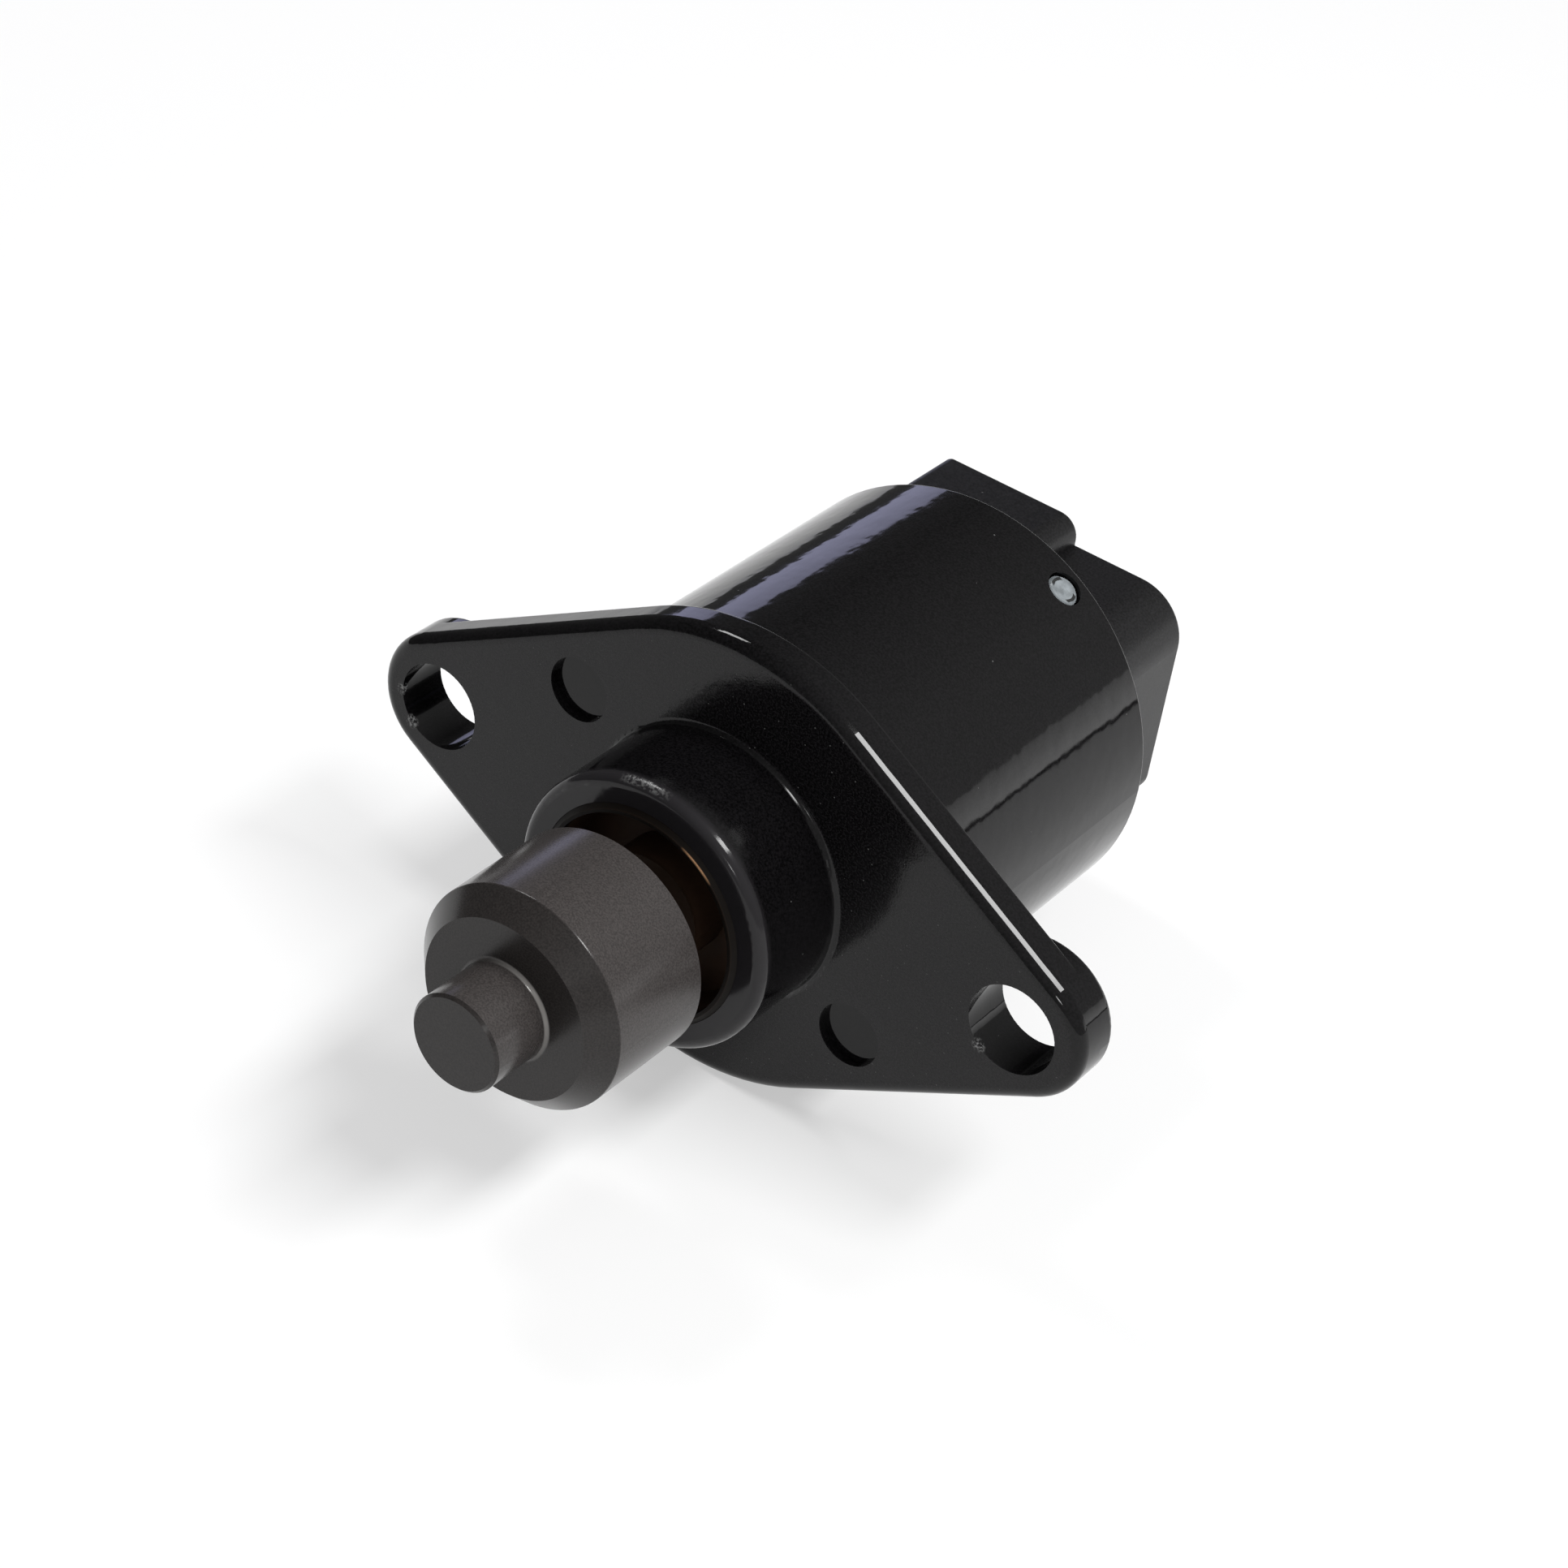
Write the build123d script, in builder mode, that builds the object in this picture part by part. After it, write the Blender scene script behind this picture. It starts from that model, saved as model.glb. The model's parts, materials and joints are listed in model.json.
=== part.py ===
from build123d import *
import os
from math import cos, radians, sin

# Idle air control valve, in millimetres.
# The axis lies along Y: the pintle points to minus Y and the harness socket to plus Y.
# The two bolt holes lie along X and the latch rib of the socket is up, along Z.
# The origin is on the axis, in the mounting face of the flange.
# The pintle stands where the photograph shows it, between the two ends of its travel.

# Flange
bolt_spacing = 48.0
bolt_hole_radius = 3.25
ear_radius = 5.2
ear_rise = 1.1
flange_radius = 17.3
flange_thickness = 2.9
flange_front_round = 1.0
flange_rear_round = 0.4
ear_rear_round = 0.5
mark_radius = 2.37
mark_across = 12.47
mark_up = 7.46
mark_depth = 0.6

# Collar in front of the flange
collar_radius = 10.0
collar_length = 8.1
collar_rim_round = 0.8
collar_foot_round = 0.45

# Can behind the flange
can_radius = 15.95
can_wall = 1.5
can_rear = 28.65
can_rim_round = 0.25

# Guide bush pressed into the collar, and the lip behind it
bush_radius = 8.05
bush_length = 5.4
bush_proud = 0.3
bush_edge = 0.35
bush_cup_wall = 0.6
bush_recess_depth = 4.2
bush_hub_radius = 4.2
bush_hub_setback = 0.9
lip_width = 0.8
lip_height = 1.4

# Travel of the pintle either way, and the room left at its ends
retract_travel = 3.0
extend_travel = 5.0
pintle_stop_gap = 0.39
flat_end_gap = 0.2
screw_end_gap = 1.2

# Clearances
running_clearance = 0.03
thread_clearance = 0.05
guide_clearance = 0.05
slip_clearance = 0.05
race_clearance = 0.02
pocket_clearance = 0.06
bobbin_clearance = 0.05

# Pintle head
pintle_radius = 7.95
pintle_length = 8.17
chamfer_width = 1.55
chamfer_length = 1.68
rim_round = 0.15
tip_radius = 3.45
tip_length = 4.7
tip_edge = 0.2
tip_foot_round = 0.3
skirt_wall = 1.4
skirt_depth = 5.21
hub_radius = 3.6
hub_setback = 1.21
hub_hole_depth = 6.0

# Lead screw
screw_radius = 2.5
screw_flat_depth = 0.6
screw_spigot_radius = 1.8

# Ball bearing
bearing_radius = 8.0
bearing_bore = 4.0
bearing_width = 5.0
bearing_setback = 0.1
land_offset = 0.9
ball_radius = 1.2
ball_count = 7
cage_thickness = 0.7
cage_rim = 0.24

# Rotor
magnet_front_gap = 0.8
nut_shoulder_height = 0.8
nut_shoulder_length = 0.5
nut_end_wall = 1.7
rotor_end_gap = 0.6
rear_journal_radius = 2.0
journal_end_gap = 0.4

# Stator: two claw pole halves of equal height, back to back
sheet = 0.8
stator_height = 7.6
air_gap = 0.3
pole_count = 6
pole_root_width = 3.0
pole_tip_width = 1.7
pole_tip_gap = 0.6
half_shift = 15.0
bobbin_wall = 0.5
bobbin_flange = 0.6
bobbin_side_gap = 0.3
winding_setback = 0.4
winding_over_magnet = 1.05

# Connector cap
chamber_wall = 1.45
chamber_depth = 3.9
cap_floor = 3.0
connector_length = 11.35
connector_width = 22.7
connector_height = 17.0
connector_top_corner = 4.0
connector_low_corner = 1.6
connector_edge_round = 0.4
socket_wall = 1.9
socket_corner = 1.2
latch_inset = 1.15
latch_width = 11.75
latch_height = 2.1
latch_left_round = 0.6
latch_right_round = 1.7
rear_bush_radius = 4.0
rear_bush_length = 3.4
boss_wall = 1.5
boss_setback = 0.4

# Rubber ring round the spigot of the cap
seal_setback = 1.5
seal_width = 1.7
seal_depth = 1.5
seal_corner = 0.5
seal_side_gap = 0.3

# Terminals
terminal_pitch = 4.5
terminal_count = 4
terminal_width = 2.8
terminal_thickness = 0.8
terminal_setback = 4.5
terminal_tip_edge = 0.25
terminal_tail_up = 7.0
terminal_tail_gap = 1.7
terminal_tail_width = 1.4

# Sealing plug in the wall of the can
plug_radius = 1.2
plug_side_gap = 0.12
plug_setback = 2.0
plug_angle = 30.0
plug_depth = 1.2
plug_sunk = 0.15
plug_edge = 0.2

# Places along the axis that follow from the sizes above, from the front to the rear
bush_front = -collar_length - bush_proud
bush_rear = bush_front + bush_length
lip_rear = bush_rear + lip_width
bearing_rear = lip_rear + bearing_width
ball_along = (lip_rear + bearing_rear) / 2
stator_front = bearing_rear + bearing_setback
stator_middle = stator_front + stator_height
stator_rear = stator_middle + stator_height
boss_front = stator_rear + boss_setback
rear_bush_end = boss_front + rear_bush_length
seal_front = stator_rear + seal_setback
seal_rear = seal_front + seal_width + seal_side_gap
cap_floor_front = stator_rear + chamber_depth
socket_floor = cap_floor_front + cap_floor
connector_rear = can_rear + connector_length
plug_along = can_rear - plug_setback
terminal_tail_front = stator_rear + terminal_tail_gap
terminal_leg = (cap_floor_front + socket_floor) / 2
terminal_tip = connector_rear - terminal_setback
ear_thickness = flange_thickness + ear_rise
magnet_front = bearing_rear + magnet_front_gap
nut_shoulder_rear = boss_front - rotor_end_gap
magnet_rear = nut_shoulder_rear - nut_shoulder_length
nut_bore_end = nut_shoulder_rear - nut_end_wall
journal_end = rear_bush_end - journal_end_gap
screw_rear = nut_bore_end - retract_travel - screw_end_gap
screw_flat_end = bush_rear + extend_travel + flat_end_gap
pintle_rear = bush_front - retract_travel - pintle_stop_gap
pintle_rim = pintle_rear - pintle_length
pintle_face = pintle_rim - chamfer_length
tip_front = pintle_face - tip_length
skirt_floor = pintle_rear - skirt_depth
hub_rear = pintle_rear - hub_setback
hub_hole_end = hub_rear - hub_hole_depth

# Radii that follow from the sizes above
ear_across = bolt_spacing / 2
lip_radius = bearing_radius - lip_height
ball_pitch_radius = (bearing_radius + bearing_bore) / 2
groove_radius = ball_radius + race_clearance
pocket_radius = ball_radius + pocket_clearance
cage_half_width = pocket_radius + cage_rim
screw_flat = screw_radius - screw_flat_depth
nut_bore = screw_radius + thread_clearance
magnet_bore = bearing_bore + nut_shoulder_height
can_bore = can_radius - can_wall
stator_radius = can_bore - slip_clearance
bobbin_flange_radius = stator_radius - sheet - bobbin_side_gap
winding_radius = bobbin_flange_radius - winding_setback
# The magnet and the winding share the room from the nut outwards, and the winding is the deeper one
magnet_to_winding = air_gap + sheet + bobbin_clearance + bobbin_wall
motor_room = winding_radius - magnet_bore - magnet_to_winding
magnet_radius = magnet_bore + (motor_room - winding_over_magnet) / 2
pole_inner = magnet_radius + air_gap
pole_outer = pole_inner + sheet
bobbin_bore = pole_outer + bobbin_clearance
bobbin_tube = bobbin_bore + bobbin_wall
spigot_radius = can_bore - slip_clearance
seal_groove_radius = can_bore - seal_depth
chamber_radius = seal_groove_radius - chamber_wall
boss_radius = rear_bush_radius + boss_wall
latch_across = latch_inset + (latch_width - connector_width) / 2

# How near an edge has to lie to the place where it is looked for
touch = 0.01


def across(along):
    """Plane square to the axis, facing the front, at this distance along the axis."""
    return Plane.XZ.offset(-along)


def outward(along, angle):
    """Plane through the axis at this distance along it, facing outward at this angle from +X towards +Z."""
    turn = radians(angle)
    return Plane(origin=(0, along, 0), x_dir=(-sin(turn), 0, cos(turn)), z_dir=(cos(turn), 0, sin(turn)))


def ring(inner, outer, front, rear):
    """Plain ring about the axis."""
    with BuildPart() as plain:
        with BuildSketch(across(rear)):
            Circle(outer)
            Circle(inner, mode=Mode.SUBTRACT)
        extrude(amount=rear - front)
    return plain


def turned(profile):
    """Solid turned about the axis from (radius, along) points."""
    with BuildPart() as piece:
        with BuildSketch(Plane.XY):
            with BuildLine():
                Polyline(*profile, close=True)
            make_face()
        revolve(axis=Axis.Y)
    return piece


def edges_at(builder, along):
    """Edges of a part that lie across the axis at this distance."""
    return builder.edges().filter_by_position(Axis.Y, along - touch, along + touch)


def round_edges(builder, along, radius):
    """The circular edges of this radius at this distance along the axis."""
    circles = edges_at(builder, along).filter_by(GeomType.CIRCLE)
    return circles.filter_by(lambda edge: abs(edge.radius - radius) < touch)


def d_section(radius, flat):
    """Round section with one flat on its upper side."""
    Circle(radius)
    with Locations((0, flat - 2 * radius)):
        Rectangle(4 * radius, 4 * radius, mode=Mode.INTERSECT)


# Housing: flange, ears, collar and can in one moulding
with BuildPart() as housing:
    # Diamond flange, the hull of a centre disc and two ears
    with BuildSketch(across(flange_thickness)):
        Circle(flange_radius)
        with Locations((-ear_across, 0), (ear_across, 0)):
            Circle(ear_radius)
        make_hull()
    extrude(amount=flange_thickness)
    fillet(edges_at(housing, 0), flange_front_round)
    fillet(edges_at(housing, flange_thickness), flange_rear_round)
    # Ear bosses behind the flange
    with BuildSketch(across(ear_thickness)):
        with Locations((-ear_across, 0), (ear_across, 0)):
            Circle(ear_radius)
    extrude(amount=ear_thickness - flange_thickness / 2)
    fillet(edges_at(housing, ear_thickness), ear_rear_round)
    # Can
    with BuildSketch(across(can_rear)):
        Circle(can_radius)
    extrude(amount=can_rear - flange_thickness / 2)
    fillet(edges_at(housing, can_rear), can_rim_round)
    # Collar
    with BuildSketch(across(flange_thickness / 2)):
        Circle(collar_radius)
    extrude(amount=flange_thickness / 2 + collar_length)
    fillet(edges_at(housing, -collar_length), collar_rim_round)
    fillet(round_edges(housing, 0, collar_radius), collar_foot_round)
    # Stepped bore: bush seat, lip, bearing seat and motor chamber
    bores = [
        (bush_radius, -collar_length, bush_rear),
        (lip_radius, bush_rear, lip_rear),
        (bearing_radius, lip_rear, stator_front),
        (can_bore, stator_front, can_rear),
    ]
    for radius, front, rear in bores:
        with BuildSketch(across(rear)):
            Circle(radius)
        extrude(amount=rear - front, mode=Mode.SUBTRACT)
    # Bolt holes
    with BuildSketch(across(ear_thickness)):
        with Locations((-ear_across, 0), (ear_across, 0)):
            Circle(bolt_hole_radius)
    extrude(amount=ear_thickness, mode=Mode.SUBTRACT)
    # Round ejector marks in the mounting face
    with BuildSketch(across(0)):
        with Locations((-mark_across, mark_up), (mark_across, -mark_up)):
            Circle(mark_radius)
    extrude(amount=-mark_depth, mode=Mode.SUBTRACT)
    # Hole for the sealing plug
    with BuildSketch(outward(plug_along, 90 - plug_angle)):
        Circle(plug_radius + plug_side_gap)
    extrude(amount=2 * can_radius, mode=Mode.SUBTRACT)

# Sealing plug, through the can's wall into the spigot of the cap
with BuildPart() as sealing_plug:
    with BuildSketch(outward(plug_along, 90 - plug_angle).offset(spigot_radius - plug_depth)):
        Circle(plug_radius)
    extrude(amount=can_radius - plug_sunk - spigot_radius + plug_depth)
    chamfer(sealing_plug.edges().sort_by_distance((0, plug_along, 0))[-1], plug_edge)

# Terminals: flat strips with a blade in the socket, a leg inside the floor and a tail to the windings
with BuildPart() as terminals:
    for place in range(terminal_count):
        side = (place - (terminal_count - 1) / 2) * terminal_pitch
        with BuildSketch(Plane.YZ.offset(side)):
            with Locations(((terminal_leg + terminal_tip) / 2, 0)):
                Rectangle(terminal_tip - terminal_leg, terminal_thickness)
        extrude(amount=terminal_width / 2, both=True)
        with BuildSketch(Plane.YZ.offset(side)):
            with Locations((terminal_leg, terminal_tail_up / 2)):
                Rectangle(terminal_thickness, terminal_tail_up + terminal_thickness)
            with Locations(((terminal_leg + terminal_tail_front) / 2, terminal_tail_up)):
                Rectangle(terminal_leg - terminal_tail_front, terminal_thickness)
        extrude(amount=terminal_tail_width / 2, both=True)
    chamfer(edges_at(terminals, terminal_tip), terminal_tip_edge)

# Connector cap: spigot in the can, harness socket behind it and a latch rib on top
with BuildPart() as connector_cap:
    with BuildSketch(across(connector_rear)) as socket_section:
        Rectangle(connector_width, connector_height)
        fillet(socket_section.vertices().group_by(Axis.Y)[-1], connector_top_corner)
        fillet(socket_section.vertices().group_by(Axis.Y)[0], connector_low_corner)
    extrude(amount=connector_length)
    with BuildSketch(across(connector_rear)) as latch_section:
        with Locations((latch_across, connector_height / 2)):
            Rectangle(latch_width, 2 * latch_height)
        fillet(latch_section.vertices().group_by(Axis.Y)[-1].sort_by(Axis.X)[-1], latch_right_round)
        fillet(latch_section.vertices().group_by(Axis.Y)[-1].sort_by(Axis.X)[0], latch_left_round)
    extrude(amount=connector_length)
    fillet(edges_at(connector_cap, connector_rear), connector_edge_round)
    with BuildSketch(across(can_rear)):
        Circle(spigot_radius)
    extrude(amount=can_rear - stator_rear)
    # Chamber in front of the floor, round the boss that holds the rear bush
    with BuildSketch(across(cap_floor_front)):
        Circle(chamber_radius)
        Circle(boss_radius, mode=Mode.SUBTRACT)
    extrude(amount=chamber_depth, mode=Mode.SUBTRACT)
    with BuildSketch(across(boss_front)):
        Circle(chamber_radius)
    extrude(amount=boss_setback, mode=Mode.SUBTRACT)
    with BuildSketch(across(rear_bush_end)):
        Circle(rear_bush_radius)
    extrude(amount=rear_bush_length, mode=Mode.SUBTRACT)
    # Harness socket
    with BuildSketch(across(connector_rear)):
        RectangleRounded(connector_width - 2 * socket_wall, connector_height - 2 * socket_wall, socket_corner)
    extrude(amount=connector_rear - socket_floor, mode=Mode.SUBTRACT)
    # Groove of the rubber ring
    with BuildSketch(across(seal_rear)):
        Circle(can_radius)
        Circle(seal_groove_radius, mode=Mode.SUBTRACT)
    extrude(amount=seal_rear - seal_front, mode=Mode.SUBTRACT)
    # Pockets that the terminals and the plug fill
    add(terminals.part, mode=Mode.SUBTRACT)
    add(sealing_plug.part, mode=Mode.SUBTRACT)

# Rubber ring between the spigot and the can
with BuildPart() as cap_seal:
    with BuildSketch(Plane.XY):
        with Locations((can_bore - seal_depth / 2, (seal_front + seal_rear) / 2)):
            RectangleRounded(seal_depth, seal_width, seal_corner)
    revolve(axis=Axis.Y)

# Guide bush: thin-walled cup with a hub, whose hole has a flat that keeps the screw from turning
with BuildPart() as guide_bush:
    with BuildSketch(across(bush_rear)):
        Circle(bush_radius)
    extrude(amount=bush_length)
    chamfer(edges_at(guide_bush, bush_front), bush_edge)
    with BuildSketch(across(bush_front + bush_recess_depth)):
        Circle(bush_radius - bush_cup_wall)
        Circle(bush_hub_radius, mode=Mode.SUBTRACT)
    extrude(amount=bush_recess_depth, mode=Mode.SUBTRACT)
    with BuildSketch(across(bush_front + bush_hub_setback)):
        Circle(bush_radius - bush_cup_wall)
    extrude(amount=bush_hub_setback, mode=Mode.SUBTRACT)
    with BuildSketch(across(bush_rear)):
        d_section(screw_radius + guide_clearance, screw_flat + guide_clearance)
    extrude(amount=bush_length, mode=Mode.SUBTRACT)

# Pintle head: stepped tip, wide chamfer and a hollow skirt with a hub for the screw
pintle_profile = [
    (0, tip_front),
    (tip_radius - tip_edge, tip_front),
    (tip_radius, tip_front + tip_edge),
    (tip_radius, pintle_face),
    (pintle_radius - chamfer_width, pintle_face),
    (pintle_radius, pintle_rim),
    (pintle_radius, pintle_rear),
    (pintle_radius - skirt_wall, pintle_rear),
    (pintle_radius - skirt_wall, skirt_floor),
    (hub_radius, skirt_floor),
    (hub_radius, hub_rear),
    (screw_spigot_radius, hub_rear),
    (screw_spigot_radius, hub_hole_end),
    (0, hub_hole_end),
]
with BuildPart() as pintle_head:
    add(turned(pintle_profile).part)
    fillet(round_edges(pintle_head, pintle_face, tip_radius), tip_foot_round)
    fillet(round_edges(pintle_head, pintle_rim, pintle_radius), rim_round)

# Lead screw: spigot in the pintle, guided length with a flat and threaded rear length
with BuildPart() as lead_screw:
    with BuildSketch(across(hub_rear)):
        Circle(screw_spigot_radius)
    extrude(amount=hub_hole_depth)
    with BuildSketch(across(screw_flat_end)):
        d_section(screw_radius, screw_flat)
    extrude(amount=screw_flat_end - hub_rear)
    with BuildSketch(across(screw_rear)):
        Circle(screw_radius)
    extrude(amount=screw_rear - screw_flat_end)

# Ball bearing
with BuildPart() as bearing_outer_ring:
    add(ring(ball_pitch_radius + land_offset, bearing_radius, lip_rear, bearing_rear).part)
    with Locations((0, ball_along, 0)):
        Torus(ball_pitch_radius, groove_radius, rotation=(90, 0, 0), mode=Mode.SUBTRACT)
with BuildPart() as bearing_inner_ring:
    add(ring(bearing_bore, ball_pitch_radius - land_offset, lip_rear, bearing_rear).part)
    with Locations((0, ball_along, 0)):
        Torus(ball_pitch_radius, groove_radius, rotation=(90, 0, 0), mode=Mode.SUBTRACT)
ball_angles = [360 * place / ball_count for place in range(ball_count)]
with BuildPart() as bearing_balls:
    for angle in ball_angles:
        turn = radians(angle)
        with Locations((ball_pitch_radius * cos(turn), ball_along, ball_pitch_radius * sin(turn))):
            Sphere(ball_radius)
with BuildPart() as bearing_cage:
    cage_inner = ball_pitch_radius - cage_thickness / 2
    cage_outer = ball_pitch_radius + cage_thickness / 2
    add(ring(cage_inner, cage_outer, ball_along - cage_half_width, ball_along + cage_half_width).part)
    for angle in ball_angles:
        with BuildSketch(outward(ball_along, angle)):
            Circle(pocket_radius)
        extrude(amount=bearing_radius, mode=Mode.SUBTRACT)

# Rotor: magnet ring on a brass nut that runs in the bearing and the rear bush
rotor_magnet = ring(magnet_bore, magnet_radius, magnet_front, magnet_rear)
nut_profile = [
    (nut_bore, lip_rear),
    (bearing_bore, lip_rear),
    (bearing_bore, bearing_rear),
    (magnet_bore, bearing_rear),
    (magnet_bore, nut_shoulder_rear),
    (rear_journal_radius, nut_shoulder_rear),
    (rear_journal_radius, journal_end),
    (0, journal_end),
    (0, nut_bore_end),
    (nut_bore, nut_bore_end),
]
rotor_nut = turned(nut_profile)
rear_bush = ring(rear_journal_radius + running_clearance, rear_bush_radius, boss_front, rear_bush_end)


# Stator stampings, bobbins and windings
def claw_poles(root, tip, first_angle):
    """Curved poles that narrow from root to tip, evenly spaced about the axis."""
    with BuildPart() as poles:
        for place in range(pole_count):
            with BuildSketch(outward(root, first_angle + 360 * place / pole_count)):
                with BuildLine():
                    Polyline(
                        (-pole_root_width / 2, 0),
                        (pole_root_width / 2, 0),
                        (pole_tip_width / 2, root - tip),
                        (-pole_tip_width / 2, root - tip),
                        close=True,
                    )
                make_face()
            extrude(amount=pole_outer)
        with BuildSketch(across(max(root, tip))):
            Circle(pole_outer)
            Circle(pole_inner, mode=Mode.SUBTRACT)
        extrude(amount=abs(root - tip), mode=Mode.INTERSECT)
    return poles


def pole_plate(face, step, first_angle):
    """Flat plate at the stator's middle, with claw poles; step is 1 for the rear half and -1 for the front."""
    root = face + step * sheet
    tip = face + step * (stator_height - sheet - pole_tip_gap)
    with BuildPart() as plate:
        add(ring(pole_inner, stator_radius, min(face, root), max(face, root)).part)
        add(claw_poles(root, tip, first_angle).part)
    return plate


def stator_cup(base, step, first_angle):
    """Cup open to the stator's middle, with claw poles; step is 1 for the front half and -1 for the rear."""
    root = base + step * sheet
    mouth = base + step * (stator_height - sheet)
    tip = mouth - step * pole_tip_gap
    with BuildPart() as cup:
        add(ring(pole_inner, stator_radius, min(base, root), max(base, root)).part)
        add(ring(stator_radius - sheet, stator_radius, min(root, mouth), max(root, mouth)).part)
        add(claw_poles(root, tip, first_angle).part)
    return cup


def bobbin(front, rear):
    """Plastic reel between the cup's base and the pole plate."""
    with BuildPart() as reel:
        add(ring(bobbin_bore, bobbin_tube, front, rear).part)
        add(ring(bobbin_bore, bobbin_flange_radius, front, front + bobbin_flange).part)
        add(ring(bobbin_bore, bobbin_flange_radius, rear - bobbin_flange, rear).part)
    return reel


def winding(front, rear):
    """Copper coil that fills a bobbin."""
    return ring(bobbin_tube, winding_radius, front + bobbin_flange, rear - bobbin_flange)


pole_step = 360 / pole_count
front_reel = (stator_front + sheet, stator_middle - sheet)
rear_reel = (stator_middle + sheet, stator_rear - sheet)
front_stator_cup = stator_cup(stator_front, 1, 0)
front_pole_plate = pole_plate(stator_middle, -1, pole_step / 2)
rear_pole_plate = pole_plate(stator_middle, 1, half_shift)
rear_stator_cup = stator_cup(stator_rear, -1, half_shift + pole_step / 2)
front_bobbin = bobbin(*front_reel)
rear_bobbin = bobbin(*rear_reel)
front_winding = winding(*front_reel)
rear_winding = winding(*rear_reel)

# One file for each piece
pieces = {
    "housing": housing,
    "connector_cap": connector_cap,
    "terminals": terminals,
    "sealing_plug": sealing_plug,
    "cap_seal": cap_seal,
    "guide_bush": guide_bush,
    "pintle_head": pintle_head,
    "lead_screw": lead_screw,
    "bearing_outer_ring": bearing_outer_ring,
    "bearing_inner_ring": bearing_inner_ring,
    "bearing_balls": bearing_balls,
    "bearing_cage": bearing_cage,
    "rotor_magnet": rotor_magnet,
    "rotor_nut": rotor_nut,
    "rear_bush": rear_bush,
    "front_stator_cup": front_stator_cup,
    "front_pole_plate": front_pole_plate,
    "rear_pole_plate": rear_pole_plate,
    "rear_stator_cup": rear_stator_cup,
    "front_bobbin": front_bobbin,
    "rear_bobbin": rear_bobbin,
    "front_winding": front_winding,
    "rear_winding": rear_winding,
}
os.makedirs("parts", exist_ok=True)
for name, piece in pieces.items():
    piece.part.label = name
    export_step(piece.part, f"parts/{name}.step")
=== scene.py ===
import bpy
import json
from math import cos, pi, radians, sin
from mathutils import Matrix, Vector


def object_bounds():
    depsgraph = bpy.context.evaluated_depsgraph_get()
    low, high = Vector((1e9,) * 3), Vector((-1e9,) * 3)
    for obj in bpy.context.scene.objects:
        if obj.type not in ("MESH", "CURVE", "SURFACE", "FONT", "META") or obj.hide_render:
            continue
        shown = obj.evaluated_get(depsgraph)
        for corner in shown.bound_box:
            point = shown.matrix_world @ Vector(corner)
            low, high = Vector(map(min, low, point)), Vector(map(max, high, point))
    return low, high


# Idle air control valve on a pale floor, in metres, in the frame of its solids:
# the axis lies along Y with the pintle towards minus Y, and Z is up.
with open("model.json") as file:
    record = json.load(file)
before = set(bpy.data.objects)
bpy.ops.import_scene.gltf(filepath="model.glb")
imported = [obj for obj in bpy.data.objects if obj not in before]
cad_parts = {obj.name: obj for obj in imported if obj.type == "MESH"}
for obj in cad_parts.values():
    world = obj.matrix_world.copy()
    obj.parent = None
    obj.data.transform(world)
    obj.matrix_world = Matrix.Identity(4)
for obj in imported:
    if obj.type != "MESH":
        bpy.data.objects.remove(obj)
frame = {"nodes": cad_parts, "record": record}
solid_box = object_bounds()
nodes = frame["nodes"]
scene = bpy.context.scene
scene.view_settings.view_transform = "Standard"

# Camera
camera_place = (0.102137, -0.163412, 0.145740)
camera_look = (-0.41670, 0.69685, -0.58375)
camera_up = (-0.43644, 0.40995, 0.80091)
camera_lens = 83.66
camera_nearest = 0.01

# Floor: part of its white is its own, so that the object's shadow stays soft on it
floor_height = solid_box[0].z
floor_half = 0.45
floor_colour = (0.50, 0.50, 0.50, 1)
floor_white = 0.47

# Room: dim on the left and lighter on the right, by the sideways part of the direction that is looked at
room_sideways = (-0.45, 0.45)
room_levels = (0.10, 0.50)

# Lamps: azimuth from +Y towards +X and elevation, in degrees, seen from the middle of the can. A lamp of
# brightness one has this power to the square metre
lamp_target = Vector((0, 0.015, 0.008))
lamp_distance = 0.6
lamp_power = 4
key_place = (90, 60)
key_size = (0.38, 0.105)
key_level = 20.0
side_place = (-78, 55)
side_size = (0.13, 0.13)
side_level = 12.0
front_place = (155, 20)
front_size = (0.05, 0.05)
front_level = 16.0
window_place = (-42, 11.5)
window_size = (0.20, 0.130)
window_level = 1.45
window_colour = (0.68, 0.69, 1.0)

# Low screen behind the object on the right: a dark foot and a grey sheet above it, dimmer towards its top
screen_azimuth = 42
screen_distance = 0.286
screen_half = 0.15
screen_foot = 0.0078
screen_top = 0.062
screen_foot_levels = (0.0, 0.0)
screen_sheet_levels = (2.1, 1.1)

# Noise: its number of finer layers, and the spans of it that are drawn out to a full range
plain_detail = 1.0
usual_detail = 2.0
fine_detail = 3.0
cloud_span = (0.35, 0.65)
mottle_span = (0.3, 0.7)
ring_span = (0.25, 0.75)

# Black plastic: a cloudy grain, darker and paler than its colour, and palest on the mounting face, which lies
# within these depths along the axis. The gloss is a little uneven
black_specular = 0.26
black_cloud_scale = 6000
black_dark_shade = 0.4
black_side_shade = 1.6
black_face_shade = 3.5
face_depths = (0.00002, 0.00010)
face_grain_scale = 7000
face_grain_depth = 0.000004
uneven_scale = 900
uneven_gloss = 0.04

# Dust: lint all over and powder on the mounting face, by cells to the metre, the radius of a spot in cells
# and the share of the cells that have one
lint_cells = 900
lint_radius = 0.055
lint_share = 0.12
powder_cells = 2200
powder_radius = 0.12
powder_share = 0.25
dust_level = 0.10

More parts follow.
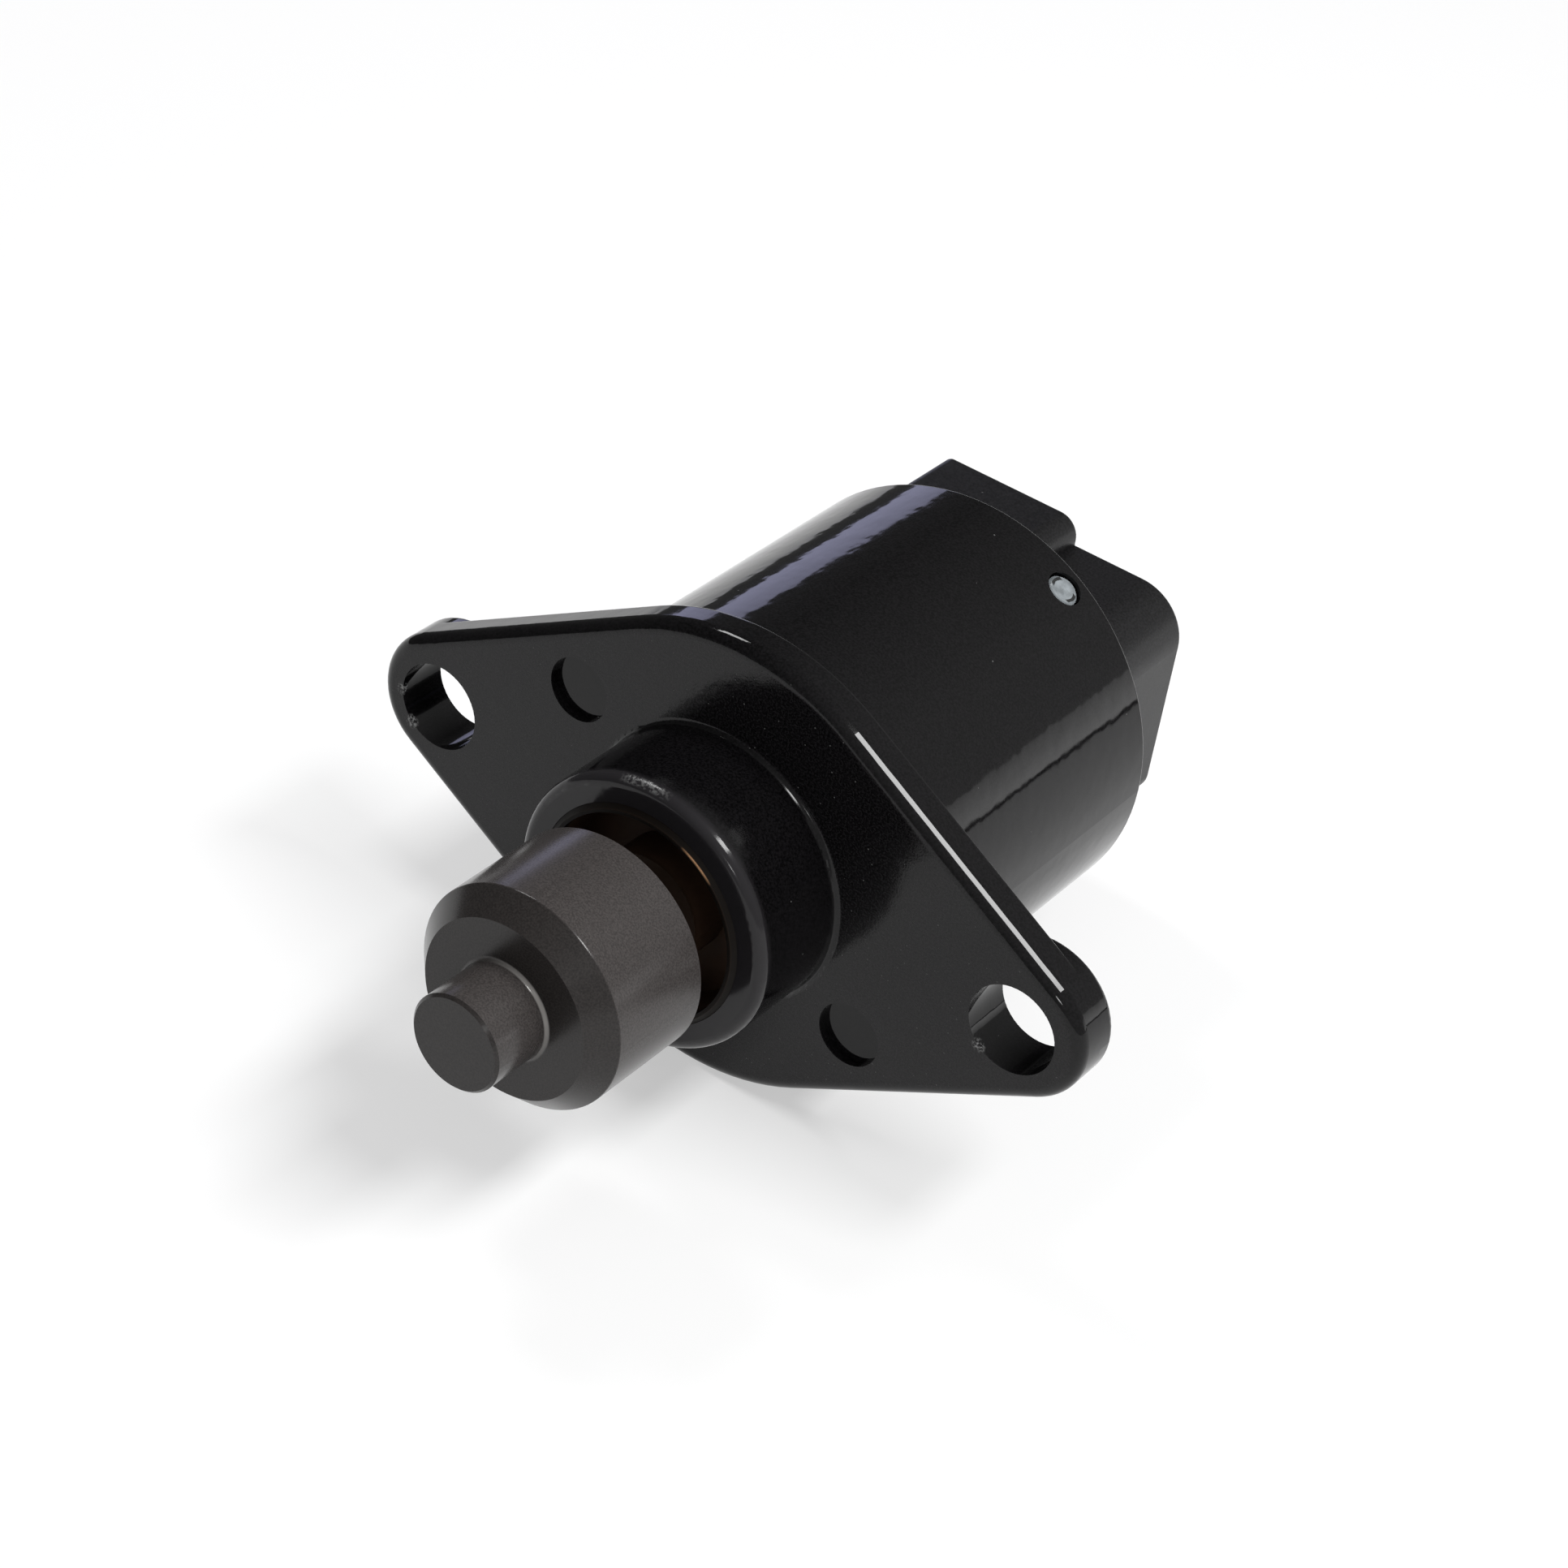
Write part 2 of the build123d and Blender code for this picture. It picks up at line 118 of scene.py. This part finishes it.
# Moulded ripple: stronger and drawn out along the axis on the upper left of the can, about one angle round
# the axis, from +X towards +Z. The span is of the cosine of the angle from there, here and below
ripple_scale = 650
ripple_at = 112
ripple_span = (0.85, 0.97)
ripple_draw = (1.0, 0.35, 1.0)
drawn_scale = 1700
drawn_share = 0.5

# Collar: its front is painted a little paler, which is painted light, and its rim is scuffed at one angle
# round the axis, where the lamp's highlight falls, so the paler scuffs also paint a highlight. The ring of
# the scuffs has a distance from the axis and a place along it
painted_light_front_places = (-0.0076, -0.0070)
painted_light_front_shade = 4.5
scuff_and_highlight_ring = (0.00986, -0.00772, 0.0)
scuff_and_highlight_reach = 0.0004
scuff_and_highlight_at = 96
scuff_and_highlight_span = (0.978, 0.992)
scuff_scale = 4500
scuff_ragged = (0.42, 0.62)
scuff_and_painted_highlight_colour = (0.10, 0.10, 0.10, 1)
scuff_depth = 0.000006
scuff_dullness = 0.12

# Chips in the rims of the bolt holes
chip_places = [(-0.0272, 0.0, -0.0002), (-0.0262, 0.0, -0.0024), (0.0220, 0.0, -0.0025)]
chip_reach = 0.0006
chip_scale = 5000
chip_ragged = (0.46, 0.60)
chip_colour = (0.24, 0.24, 0.24, 1)

# Plain plastic
plastic_cloud_scale = 500
plastic_shades = (0.85, 1.15)
plastic_grain_scale = 4000
plastic_grain_depth = 0.000004
plastic_swing = 0.05

# Guide bush: painted shade darkens its mouth, and its brown further in is painted paler as light. Its front
# edge, at this distance from the axis and place along it, has a thin amber painted glint at one angle round
# the axis
bush_specular = 0.10
bush_cloud_scale = 700
bush_shades = (0.7, 1.3)
bush_painted_shade_places = (-0.0079, -0.0072)
bush_mouth_painted_shade = (0.0050, 0.0034, 0.0024, 1)
bush_edge = (0.00770, -0.00840, 0.0)
bush_line = 0.00011
bush_painted_glint_at = 58
bush_painted_glint_span = (0.98, 0.998)
bush_painted_glint_shares = (0.01, 1.0)
bush_painted_glint_amber = (0.34, 0.19, 0.10, 1)
bush_grain_scale = 4000
bush_grain_depth = 0.000002
bush_swing = 0.04

# Sealing plug: a place on its axis, its lean from +Z towards +X, its mottling, and the dark arcs of painted
# shade in the gap at its rim
plug_middle = (0.0, 0.02665, 0.0)
plug_lean = radians(30)
plug_axis = (sin(plug_lean), 0.0, cos(plug_lean))
plug_cloud_scale = 1100
plug_shades = (0.65, 1.15)
plug_relief = 0.00004
arc_radius = 0.00098
arc_half_widths = (0.00009, 0.00012)
arc_half_lengths = (0.00045, 0.00055)
arc_scale = 1500
arc_wander = 0.0002
arc_painted_shade = 0.02
arc_depth = -0.00010
arc_roughness = 0.7

# Turned metal
ring_scale = 16000
ground_depth = 0.000001
turned_depth = 0.000002
ring_swing = 0.02
turned_cloud_scale = 350
turned_shades = (0.88, 1.12)

# Pintle: its end faces and chamfer, painted darker as shade, are known by the lengthwise part of the way they
# face. A painted highlight, a bright line, goes round the foot of its tip, on a ring with a distance from the
# axis and a place along it, and is brightest at one angle
pintle_specular = 0.30
pintle_painted_shade_facing_span = (0.1, 0.5)
pintle_grain_scale = 8000
pintle_shades = (0.75, 1.25)
pintle_ring_depth = 0.0000001
tip_line = (0.00356, -0.02175, 0.0)
tip_line_reach = 0.00020
tip_painted_highlight_at = 35
tip_painted_highlight_span = (0.2, 0.95)
tip_painted_highlight_shares = (0.15, 1.0)
tip_painted_highlight_colour = (0.22, 0.21, 0.20, 1)

# Plated sheet
patch_cells = 900
patch_shades = (0.85, 1.1)
patch_smoother = 0.05
patch_rougher = 0.08
sheet_grain_scale = 3000
sheet_grain_depth = 0.000003

# Porous metal and ferrite, with painted shade in the pores
pore_cells = 5000
pore_radius = 0.3
pore_share = 0.5
pore_painted_shade = 0.4
pore_depth = -0.000006
porous_cloud_scale = 700
porous_shades = (0.85, 1.15)
porous_swing = 0.05

# Wound wire, with painted shade in the grooves between its turns
wire_wander_scale = 400
wire_wander = 2.0
wire_painted_groove_shades = (0.35, 1.1)
wire_relief_share = 0.25
wire_roughness = (0.5, 0.28)

# Ranges that a number is drawn out to, plain colours and angles
RISING = (0.0, 1.0)
FALLING = (1.0, 0.0)
WAVE = (-1.0, 1.0)
WHITE = (1, 1, 1, 1)
DARK = (0.002, 0.002, 0.002, 1)
QUARTER_TURN = 90

# Sockets of the node that mixes two colours
MIX_FIRST = 6
MIX_SECOND = 7
MIX_RESULT = 2


def grey(level):
    """Neutral colour of this level."""
    return (level, level, level, 1)


def shade(colour, factor):
    """Colour made darker or lighter by a factor."""
    return (colour[0] * factor, colour[1] * factor, colour[2] * factor, 1)


def about(middle, swing):
    """Range on both sides of a number."""
    return (middle - swing, middle + swing)


def aimed(azimuth, elevation):
    """Direction at this azimuth from +Y towards +X and this elevation, in degrees."""
    a = radians(azimuth)
    e = radians(elevation)
    return Vector((sin(a) * cos(e), cos(a) * cos(e), sin(e)))


class Nodes:
    """A node tree and short calls for the nodes in it."""

    def __init__(self, tree):
        self.tree = tree

    def node(self, kind, inputs, **settings):
        """New node, with each input set to a value or linked to a socket."""
        made = self.tree.nodes.new(kind)
        for key, value in settings.items():
            setattr(made, key, value)
        for key, value in inputs.items():
            self.feed(made.inputs[key], value)
        return made

    def feed(self, socket, value):
        """Sets a socket to a value, or links another socket to it."""
        if isinstance(value, bpy.types.NodeSocket):
            self.tree.links.new(value, socket)
        else:
            socket.default_value = value

    def math(self, operation, first, second=0.0):
        """One sum of two numbers."""
        return self.node("ShaderNodeMath", {0: first, 1: second}, operation=operation).outputs[0]

    def vector(self, operation, *inputs):
        """Node for one sum of vectors."""
        return self.node("ShaderNodeVectorMath", dict(enumerate(inputs)), operation=operation)

    def spread(self, value, span, target=RISING):
        """Number moved from one range to another, and kept in it."""
        inputs = {"Value": value, "From Min": span[0], "From Max": span[1]}
        inputs.update({"To Min": target[0], "To Max": target[1]})
        return self.node("ShaderNodeMapRange", inputs).outputs["Result"]

    def mix(self, factor, first, second):
        """Colour between two colours."""
        made = self.node("ShaderNodeMix", {}, data_type="RGBA")
        self.feed(made.inputs["Factor"], factor)
        self.feed(made.inputs[MIX_FIRST], first)
        self.feed(made.inputs[MIX_SECOND], second)
        return made.outputs[MIX_RESULT]

    def mottled(self, factor, colour, shades):
        """Colour between two shades of it."""
        return self.mix(factor, shade(colour, shades[0]), shade(colour, shades[1]))

    def seen_directly(self):
        """One for rays from the camera, off gloss and through clear stuff, and nought for diffuse light."""
        path = self.node("ShaderNodeLightPath", {})
        seen = self.math("MAXIMUM", path.outputs["Is Camera Ray"], path.outputs["Is Glossy Ray"])
        return self.math("MAXIMUM", seen, path.outputs["Is Transmission Ray"])


class Finish(Nodes):
    """A material with one shader, whose colour, roughness and surface come from the place on the solid."""

    def __init__(self, name, metallic=0.0, specular=0.5):
        self.material = bpy.data.materials.new(name)
        self.material.use_nodes = True
        super().__init__(self.material.node_tree)
        self.shader = self.tree.nodes["Principled BSDF"]
        self.shader.inputs["Metallic"].default_value = metallic
        self.shader.inputs["Specular IOR Level"].default_value = specular
        coordinates = self.node("ShaderNodeTexCoord", {})
        self.place = coordinates.outputs["Object"]
        self.facing = coordinates.outputs["Normal"]
        parts = self.node("ShaderNodeSeparateXYZ", {"Vector": self.place})
        self.side, self.along, self.up = parts.outputs
        self.normal = None

    def noise(self, scale, detail=usual_detail, where=None):
        """Soft noise with this many lumps to the metre."""
        inputs = {"Vector": where or self.place, "Scale": scale, "Detail": detail}
        return self.node("ShaderNodeTexNoise", inputs).outputs["Fac"]

    def across(self):
        """Place across the axis."""
        return self.node("ShaderNodeCombineXYZ", {0: self.side, 1: self.up}).outputs[0]

    def turned_place(self):
        """Distance from the axis and place along it, which are the same all the way round a turned piece."""
        radius = self.vector("LENGTH", self.across()).outputs["Value"]
        return self.node("ShaderNodeCombineXYZ", {0: radius, 1: self.along}).outputs[0]

    def towards(self, angle):
        """Cosine of the angle to this direction round the axis, in degrees from +X towards +Z."""
        way = self.vector("NORMALIZE", self.across()).outputs[0]
        aim = (cos(radians(angle)), sin(radians(angle)), 0.0)
        return self.vector("DOT_PRODUCT", way, aim).outputs["Value"]

    def near(self, where, place, reach):
        """One at a place, falling to nought at this distance from it."""
        away = self.vector("DISTANCE", where, place).outputs["Value"]
        return self.spread(away, (reach / 2, reach), FALLING)

    def near_ring(self, ring, reach):
        """One on a ring about the axis, falling to nought at this distance from it."""
        return self.near(self.turned_place(), ring, reach)

    def cell_chance(self, cells):
        """One number for each cell, anywhere from nought to one."""
        return self.node("ShaderNodeSeparateColor", {0: cells.outputs["Color"]}).outputs[0]

    def specks(self, scale, radius, share):
        """One inside small spots that a share of the cells have, and nought elsewhere."""
        cells = self.node("ShaderNodeTexVoronoi", {"Vector": self.place, "Scale": scale})
        near = self.math("LESS_THAN", cells.outputs["Distance"], radius)
        chosen = self.math("LESS_THAN", self.cell_chance(cells), share)
        return self.math("MULTIPLY", near, chosen)

    def bump(self, height, distance):
        """Adds a relief of this depth to the surface."""
        inputs = {"Height": height, "Distance": distance}
        if self.normal is not None:
            inputs["Normal"] = self.normal
        self.normal = self.node("ShaderNodeBump", inputs).outputs["Normal"]

    def done(self, colour, roughness):
        """Links what was made to the shader and gives the material."""
        self.feed(self.shader.inputs["Base Color"], colour)
        self.feed(self.shader.inputs["Roughness"], roughness)
        if self.normal is not None:
            self.feed(self.shader.inputs["Normal"], self.normal)
        return self.material


# Scuffs on the rim of the collar, where the lamp's highlight falls: one where the plastic is scuffed, and so
# also where a highlight is painted
def collar_scuffs_and_painted_highlight(finish):
    patch = finish.spread(finish.towards(scuff_and_highlight_at), scuff_and_highlight_span)
    ragged = finish.spread(finish.noise(scuff_scale, fine_detail), scuff_ragged)
    rubs = finish.math("MULTIPLY", patch, ragged)
    return finish.math("MULTIPLY", finish.near_ring(scuff_and_highlight_ring, scuff_and_highlight_reach), rubs)


# Chips in the rims of the bolt holes: one where the plastic is chipped
def hole_chips(finish):
    by_chip = 0.0
    for chip in chip_places:
        by_chip = finish.math("MAXIMUM", by_chip, finish.near(finish.place, chip, chip_reach))
    return finish.math("MULTIPLY", by_chip, finish.spread(finish.noise(chip_scale), chip_ragged))


# Black moulded plastic: glossy with a slight ripple, finer and duller on the mounting face, with some dust,
# painted paler on the front of the collar as painted light, scuffed on its rim with paler scuffs that also
# paint a highlight, and chipped in the rims of the bolt holes
def black_plastic(name, colour, face_roughness, side_roughness, ripple):
    finish = Finish(name, specular=black_specular)
    depth = finish.math("ABSOLUTE", finish.along)
    face = finish.spread(depth, face_depths, FALLING)
    front = finish.math("LESS_THAN", finish.along, 0.0)
    lint = finish.specks(lint_cells, lint_radius, lint_share)
    powder = finish.math("MULTIPLY", finish.specks(powder_cells, powder_radius, powder_share), face)
    dust = finish.math("MAXIMUM", lint, powder)
    scuff_and_highlight = collar_scuffs_and_painted_highlight(finish)
    cloud = finish.spread(finish.noise(black_cloud_scale, fine_detail), cloud_span)
    grain_colour = finish.mottled(face, colour, (black_side_shade, black_face_shade))
    plastic = finish.mix(cloud, shade(colour, black_dark_shade), grain_colour)
    # The front of the collar is painted paler: painted light standing in for light that it reflects
    painted_light_front = finish.spread(finish.along, painted_light_front_places, FALLING)
    with_painted_front_light = finish.mix(painted_light_front, plastic, shade(colour, painted_light_front_shade))
    # The scuffs are paler and lie where the lamp's highlight falls on the rim, so they also paint a highlight
    # there
    scuffed_and_highlighted = finish.mix(scuff_and_highlight, with_painted_front_light, scuff_and_painted_highlight_colour)
    worn_plastic = finish.mix(hole_chips(finish), scuffed_and_highlighted, chip_colour)
    base = finish.mix(dust, worn_plastic, grey(dust_level))
    gloss = finish.spread(finish.math("MAXIMUM", face, front), RISING, (side_roughness, face_roughness))
    uneven = finish.math("MULTIPLY", finish.noise(uneven_scale), uneven_gloss)
    roughness = finish.math("ADD", gloss, uneven)
    finish.bump(finish.noise(ripple_scale, plain_detail), ripple)
    upper_left = finish.spread(finish.towards(ripple_at), ripple_span)
    drawn = finish.vector("MULTIPLY", finish.place, ripple_draw).outputs[0]
    drawn_ripple = finish.math("MULTIPLY", finish.noise(drawn_scale, plain_detail, drawn), upper_left)
    finish.bump(drawn_ripple, ripple * drawn_share)
    finish.bump(finish.math("MULTIPLY", finish.noise(face_grain_scale, plain_detail), face), face_grain_depth)
    finish.bump(scuff_and_highlight, scuff_depth)
    duller = finish.math("ADD", roughness, finish.math("MULTIPLY", scuff_and_highlight, scuff_dullness))
    return finish.done(base, finish.math("MAXIMUM", duller, dust))


# Plain moulded plastic with soft mottling
def plain_plastic(name, colour, roughness):
    finish = Finish(name)
    cloud = finish.noise(plastic_cloud_scale, fine_detail)
    base = finish.mottled(cloud, colour, plastic_shades)
    finish.bump(finish.noise(plastic_grain_scale), plastic_grain_depth)
    return finish.done(base, finish.spread(cloud, mottle_span, about(roughness, plastic_swing)))


# Brown guide bush, with painted shade at its mouth, painted light further in and a painted amber glint on its
# front edge
def brown_bush(name, colour, roughness):
    finish = Finish(name, specular=bush_specular)
    cloud = finish.noise(bush_cloud_scale, fine_detail)
    clean = finish.mottled(cloud, colour, bush_shades)
    # Painted shade darkens the mouth of the bush, and its paler brown further in is painted light
    painted_light_inward = finish.spread(finish.along, bush_painted_shade_places)
    painted_shade_mouth = finish.mix(painted_light_inward, bush_mouth_painted_shade, clean)
    # A thin amber glint painted on the front edge, at the angle where the lamp's highlight falls
    glint_share = finish.spread(finish.towards(bush_painted_glint_at), bush_painted_glint_span, bush_painted_glint_shares)
    painted_highlight_line = finish.math("MULTIPLY", finish.near_ring(bush_edge, bush_line), glint_share)
    base = finish.mix(painted_highlight_line, painted_shade_mouth, bush_painted_glint_amber)
    finish.bump(finish.noise(bush_grain_scale), bush_grain_depth)
    return finish.done(base, finish.spread(cloud, mottle_span, about(roughness, bush_swing)))


# Pale plug, with two dark arcs of painted shade in the gap at its rim, at the ends that lie round the can
def pale_plug(name, colour, roughness):
    finish = Finish(name)
    away = finish.vector("SUBTRACT", finish.place, plug_middle).outputs[0]
    turned = finish.vector("CROSS_PRODUCT", away, plug_axis).outputs[0]
    radius = finish.vector("LENGTH", turned).outputs["Value"]
    lengthwise = finish.node("ShaderNodeSeparateXYZ", {"Vector": away}).outputs["Y"]
    # Two dark arcs of painted shade, in the gap at the rim of the plug, with a slight groove
    by_end = finish.spread(finish.math("ABSOLUTE", lengthwise), arc_half_lengths, FALLING)
    ragged = finish.math("ADD", radius, finish.math("MULTIPLY", finish.noise(arc_scale), arc_wander))
    from_arc = finish.math("ABSOLUTE", finish.math("SUBTRACT", ragged, arc_radius))
    painted_shade_arc = finish.math("MULTIPLY", finish.spread(from_arc, arc_half_widths, FALLING), by_end)
    cloud = finish.spread(finish.noise(plug_cloud_scale), cloud_span)
    clean = finish.mottled(cloud, colour, plug_shades)
    base = finish.mix(painted_shade_arc, clean, shade(colour, arc_painted_shade))
    finish.bump(cloud, plug_relief)
    finish.bump(painted_shade_arc, arc_depth)
    return finish.done(base, finish.spread(painted_shade_arc, RISING, (roughness, arc_roughness)))


# Turned or ground metal: fine rings about the axis
def turned_metal(name, colour, roughness, relief):
    finish = Finish(name, metallic=1.0)
    rings = finish.noise(ring_scale, plain_detail, finish.turned_place())
    base = finish.mottled(finish.noise(turned_cloud_scale, fine_detail), colour, turned_shades)
    finish.bump(rings, relief)
    return finish.done(base, finish.spread(rings, ring_span, about(roughness, ring_swing)))


# Dark anodised pintle: fine grain and rings, with its end faces and chamfer painted darker than its turned
# sides as painted shade, and a painted highlight line round the foot of the tip
def dark_pintle(name, painted_lit_side_colour, painted_shade_face_colour, metallic, roughness):
    finish = Finish(name, metallic, pintle_specular)
    lengthwise = finish.node("ShaderNodeSeparateXYZ", {"Vector": finish.facing}).outputs["Y"]
    # End faces and chamfer are painted darker than the turned sides: painted shade chosen by the way they
    # face
    painted_shade_on_faces = finish.spread(finish.math("ABSOLUTE", lengthwise), pintle_painted_shade_facing_span)
    grain = finish.spread(finish.noise(pintle_grain_scale), cloud_span)
    side = finish.mottled(grain, painted_lit_side_colour, pintle_shades)
    end = finish.mottled(grain, painted_shade_face_colour, pintle_shades)
    plain = finish.mix(painted_shade_on_faces, side, end)
    # A painted highlight round the foot of the tip, brightest at one angle
    highlight_share = finish.spread(finish.towards(tip_painted_highlight_at), tip_painted_highlight_span, tip_painted_highlight_shares)
    painted_highlight_line = finish.math("MULTIPLY", finish.near_ring(tip_line, tip_line_reach), highlight_share)
    base = finish.mix(painted_highlight_line, plain, tip_painted_highlight_colour)
    rings = finish.noise(ring_scale, plain_detail, finish.turned_place())
    finish.bump(rings, pintle_ring_depth)
    return finish.done(base, finish.spread(rings, ring_span, about(roughness, ring_swing)))


# Rolled or plated sheet: patches of slightly different tone
def plated_sheet(name, colour, roughness):
    finish = Finish(name, metallic=1.0)
    cells = finish.node("ShaderNodeTexVoronoi", {"Vector": finish.place, "Scale": patch_cells})
    patch = finish.cell_chance(cells)
    base = finish.mottled(patch, colour, patch_shades)
    finish.bump(finish.noise(sheet_grain_scale), sheet_grain_depth)
    range_of_gloss = (roughness - patch_smoother, roughness + patch_rougher)
    return finish.done(base, finish.spread(patch, RISING, range_of_gloss))


# Sintered metal or ferrite: small pores, darkened with painted shade
def porous(name, colour, metallic, roughness):
    finish = Finish(name, metallic)
    pores = finish.specks(pore_cells, pore_radius, pore_share)
    cloud = finish.noise(porous_cloud_scale, fine_detail)
    body = finish.mottled(cloud, colour, porous_shades)
    # The pores are darkened with painted shade
    base = finish.mix(pores, body, shade(colour, pore_painted_shade))
    finish.bump(pores, pore_depth)
    return finish.done(base, finish.spread(cloud, mottle_span, about(roughness, porous_swing)))


# Wound wire: turns side by side along the axis, with painted shade darkening the gaps between them
def wound_wire(name, colour, wire):
    finish = Finish(name, metallic=1.0)
    turn = finish.math("MULTIPLY", finish.along, 2 * pi / wire)
    wander = finish.math("MULTIPLY", finish.noise(wire_wander_scale), wire_wander)
    wave = finish.math("SINE", finish.math("ADD", turn, wander))
    crest = finish.spread(wave, WAVE)
    # Painted shade darkens the grooves between the turns
    base = finish.mottled(crest, colour, wire_painted_groove_shades)
    finish.bump(crest, wire * wire_relief_share)
    return finish.done(base, finish.spread(crest, RISING, wire_roughness))


finishes = {
    "housing_plastic": black_plastic(
        "housing_plastic",
        colour=(0.0040, 0.0037, 0.0041),
        face_roughness=0.11,
        side_roughness=0.05,
        ripple=0.000016,
    ),
    "cap_plastic": black_plastic(
        "cap_plastic",
        colour=(0.0075, 0.0072, 0.0078),
        face_roughness=0.34,
        side_roughness=0.34,
        ripple=0.000008,
    ),
    "pintle_metal": dark_pintle(
        "pintle_metal",
        # The end faces' colour is darker than the sides' as painted shade
        painted_lit_side_colour=(0.050, 0.0445, 0.043),
        painted_shade_face_colour=(0.026, 0.023, 0.022),
        metallic=0.06,
        roughness=0.23,
    ),
    "plug_plastic": pale_plug("plug_plastic", colour=(0.25, 0.275, 0.29), roughness=0.30),
    # The bush's brown is painted paler as light, for its inside
    "bush_plastic": brown_bush("bush_plastic", colour=(0.060, 0.034, 0.022), roughness=0.50),
    "seal_rubber": plain_plastic("seal_rubber", colour=(0.02, 0.02, 0.02), roughness=0.60),
    "cage_plastic": plain_plastic("cage_plastic", colour=(0.50, 0.45, 0.30), roughness=0.45),
    "bobbin_plastic": plain_plastic("bobbin_plastic", colour=(0.70, 0.68, 0.60), roughness=0.45),
    "screw_steel": turned_metal(
        "screw_steel",
        colour=(0.35, 0.34, 0.33),
        roughness=0.32,
        relief=turned_depth,
    ),
    "bearing_steel": turned_metal(
        "bearing_steel",
        colour=(0.55, 0.55, 0.56),
        roughness=0.20,
        relief=ground_depth,
    ),
    "nut_brass": turned_metal("nut_brass", colour=(0.72, 0.55, 0.25), roughness=0.26, relief=turned_depth),
    "terminal_metal": plated_sheet("terminal_metal", colour=(0.62, 0.60, 0.55), roughness=0.28),
    "ball_steel": plated_sheet("ball_steel", colour=(0.70, 0.70, 0.72), roughness=0.10),
    "stator_steel": plated_sheet("stator_steel", colour=(0.45, 0.46, 0.47), roughness=0.35),
    "magnet_ferrite": porous("magnet_ferrite", colour=(0.06, 0.06, 0.06), metallic=0.0, roughness=0.50),
    "bush_bronze": porous("bush_bronze", colour=(0.50, 0.34, 0.17), metallic=1.0, roughness=0.42),
    "winding_copper": wound_wire("winding_copper", colour=(0.60, 0.25, 0.10), wire=0.00016),
}
for row in frame["record"]["subparts"]:
    nodes[row["node"]].material_slots[0].material = finishes[row["material_slot"]]


# Floor
def pale_floor():
    mesh = bpy.data.meshes.new("floor")
    corners = [(-1, -1), (1, -1), (1, 1), (-1, 1)]
    mesh.from_pydata([(x * floor_half, y * floor_half, floor_height) for x, y in corners], [], [(0, 1, 2, 3)])
    floor = bpy.data.objects.new("floor", mesh)
    scene.collection.objects.link(floor)
    material = bpy.data.materials.new("floor_paper")
    material.use_nodes = True
    material.node_tree.nodes.clear()
    paper = Nodes(material.node_tree)
    lit = paper.node("ShaderNodeBsdfDiffuse", {"Color": floor_colour})
    strength = paper.math("MULTIPLY", paper.seen_directly(), floor_white)
    own = paper.node("ShaderNodeEmission", {"Color": WHITE, "Strength": strength})
    both = paper.node("ShaderNodeAddShader", {0: lit.outputs[0], 1: own.outputs[0]})
    paper.node("ShaderNodeOutputMaterial", {"Surface": both.outputs[0]})
    mesh.materials.append(material)


# Room: white behind the object, and by direction for the light that falls on it
def room():
    world = bpy.data.worlds.new("room")
    world.use_nodes = True
    world.node_tree.nodes.clear()
    scene.world = world
    air = Nodes(world.node_tree)
    direction = air.node("ShaderNodeTexCoord", {}).outputs["Generated"]
    sideways = air.node("ShaderNodeSeparateXYZ", {"Vector": direction}).outputs["X"]
    level = air.spread(sideways, room_sideways, room_levels)
    behind = air.node("ShaderNodeLightPath", {}).outputs["Is Camera Ray"]
    back = air.node("ShaderNodeBackground", {"Color": WHITE, "Strength": air.math("MAXIMUM", level, behind)})
    air.node("ShaderNodeOutputWorld", {"Surface": back.outputs[0]})


def lamp(name, place, size, level, colour=(1, 1, 1)):
    """Rectangular lamp of this brightness, aimed at the can."""
    light = bpy.data.lights.new(name, "AREA")
    light.shape = "RECTANGLE"
    light.size, light.size_y = size
    light.energy = lamp_power * level * size[0] * size[1]
    light.color = colour
    holder = bpy.data.objects.new(name, light)
    away = aimed(*place)
    holder.location = lamp_target + away * lamp_distance
    holder.rotation_euler = away.to_track_quat("Z", "Y").to_euler()
    holder.visible_camera = False
    scene.collection.objects.link(holder)


# Screen: seen only in the gloss of the object
def low_screen():
    middle = Vector((lamp_target.x, lamp_target.y, floor_height)) + aimed(screen_azimuth, 0) * screen_distance
    across = aimed(screen_azimuth + QUARTER_TURN, 0) * screen_half
    points = []
    for height in (0.0, screen_foot, screen_top):
        level = middle + Vector((0, 0, height))
        points += [level - across, level + across]
    mesh = bpy.data.meshes.new("screen")
    mesh.from_pydata(points, [], [(0, 1, 3, 2), (2, 3, 5, 4)])
    sheet_heights = (floor_height + screen_foot, floor_height + screen_top)
    for name, levels in (("screen_foot", screen_foot_levels), ("screen_sheet", screen_sheet_levels)):
        finish = Finish(name, specular=0.0)
        glow = finish.spread(finish.up, sheet_heights, levels)
        finish.feed(finish.shader.inputs["Emission Color"], WHITE)
        finish.feed(finish.shader.inputs["Emission Strength"], glow)
        mesh.materials.append(finish.done(DARK, 1.0))
    mesh.polygons[1].material_index = 1
    screen = bpy.data.objects.new("screen", mesh)
    screen.visible_camera = False
    screen.visible_diffuse = False
    screen.visible_shadow = False
    scene.collection.objects.link(screen)


pale_floor()
room()
lamp("key", key_place, key_size, key_level)
lamp("side", side_place, side_size, side_level)
lamp("front", front_place, front_size, front_level)
lamp("window", window_place, window_size, window_level, window_colour)
low_screen()

# Camera at the photograph's angle
camera = bpy.data.objects.new("camera", bpy.data.cameras.new("camera"))
camera.data.lens = camera_lens
camera.data.clip_start = camera_nearest
look = Vector(camera_look).normalized()
right = look.cross(Vector(camera_up)).normalized()
turn = Matrix((right, right.cross(look), -look)).transposed()
camera.matrix_world = Matrix.Translation(camera_place) @ turn.to_4x4()
scene.collection.objects.link(camera)
scene.camera = camera
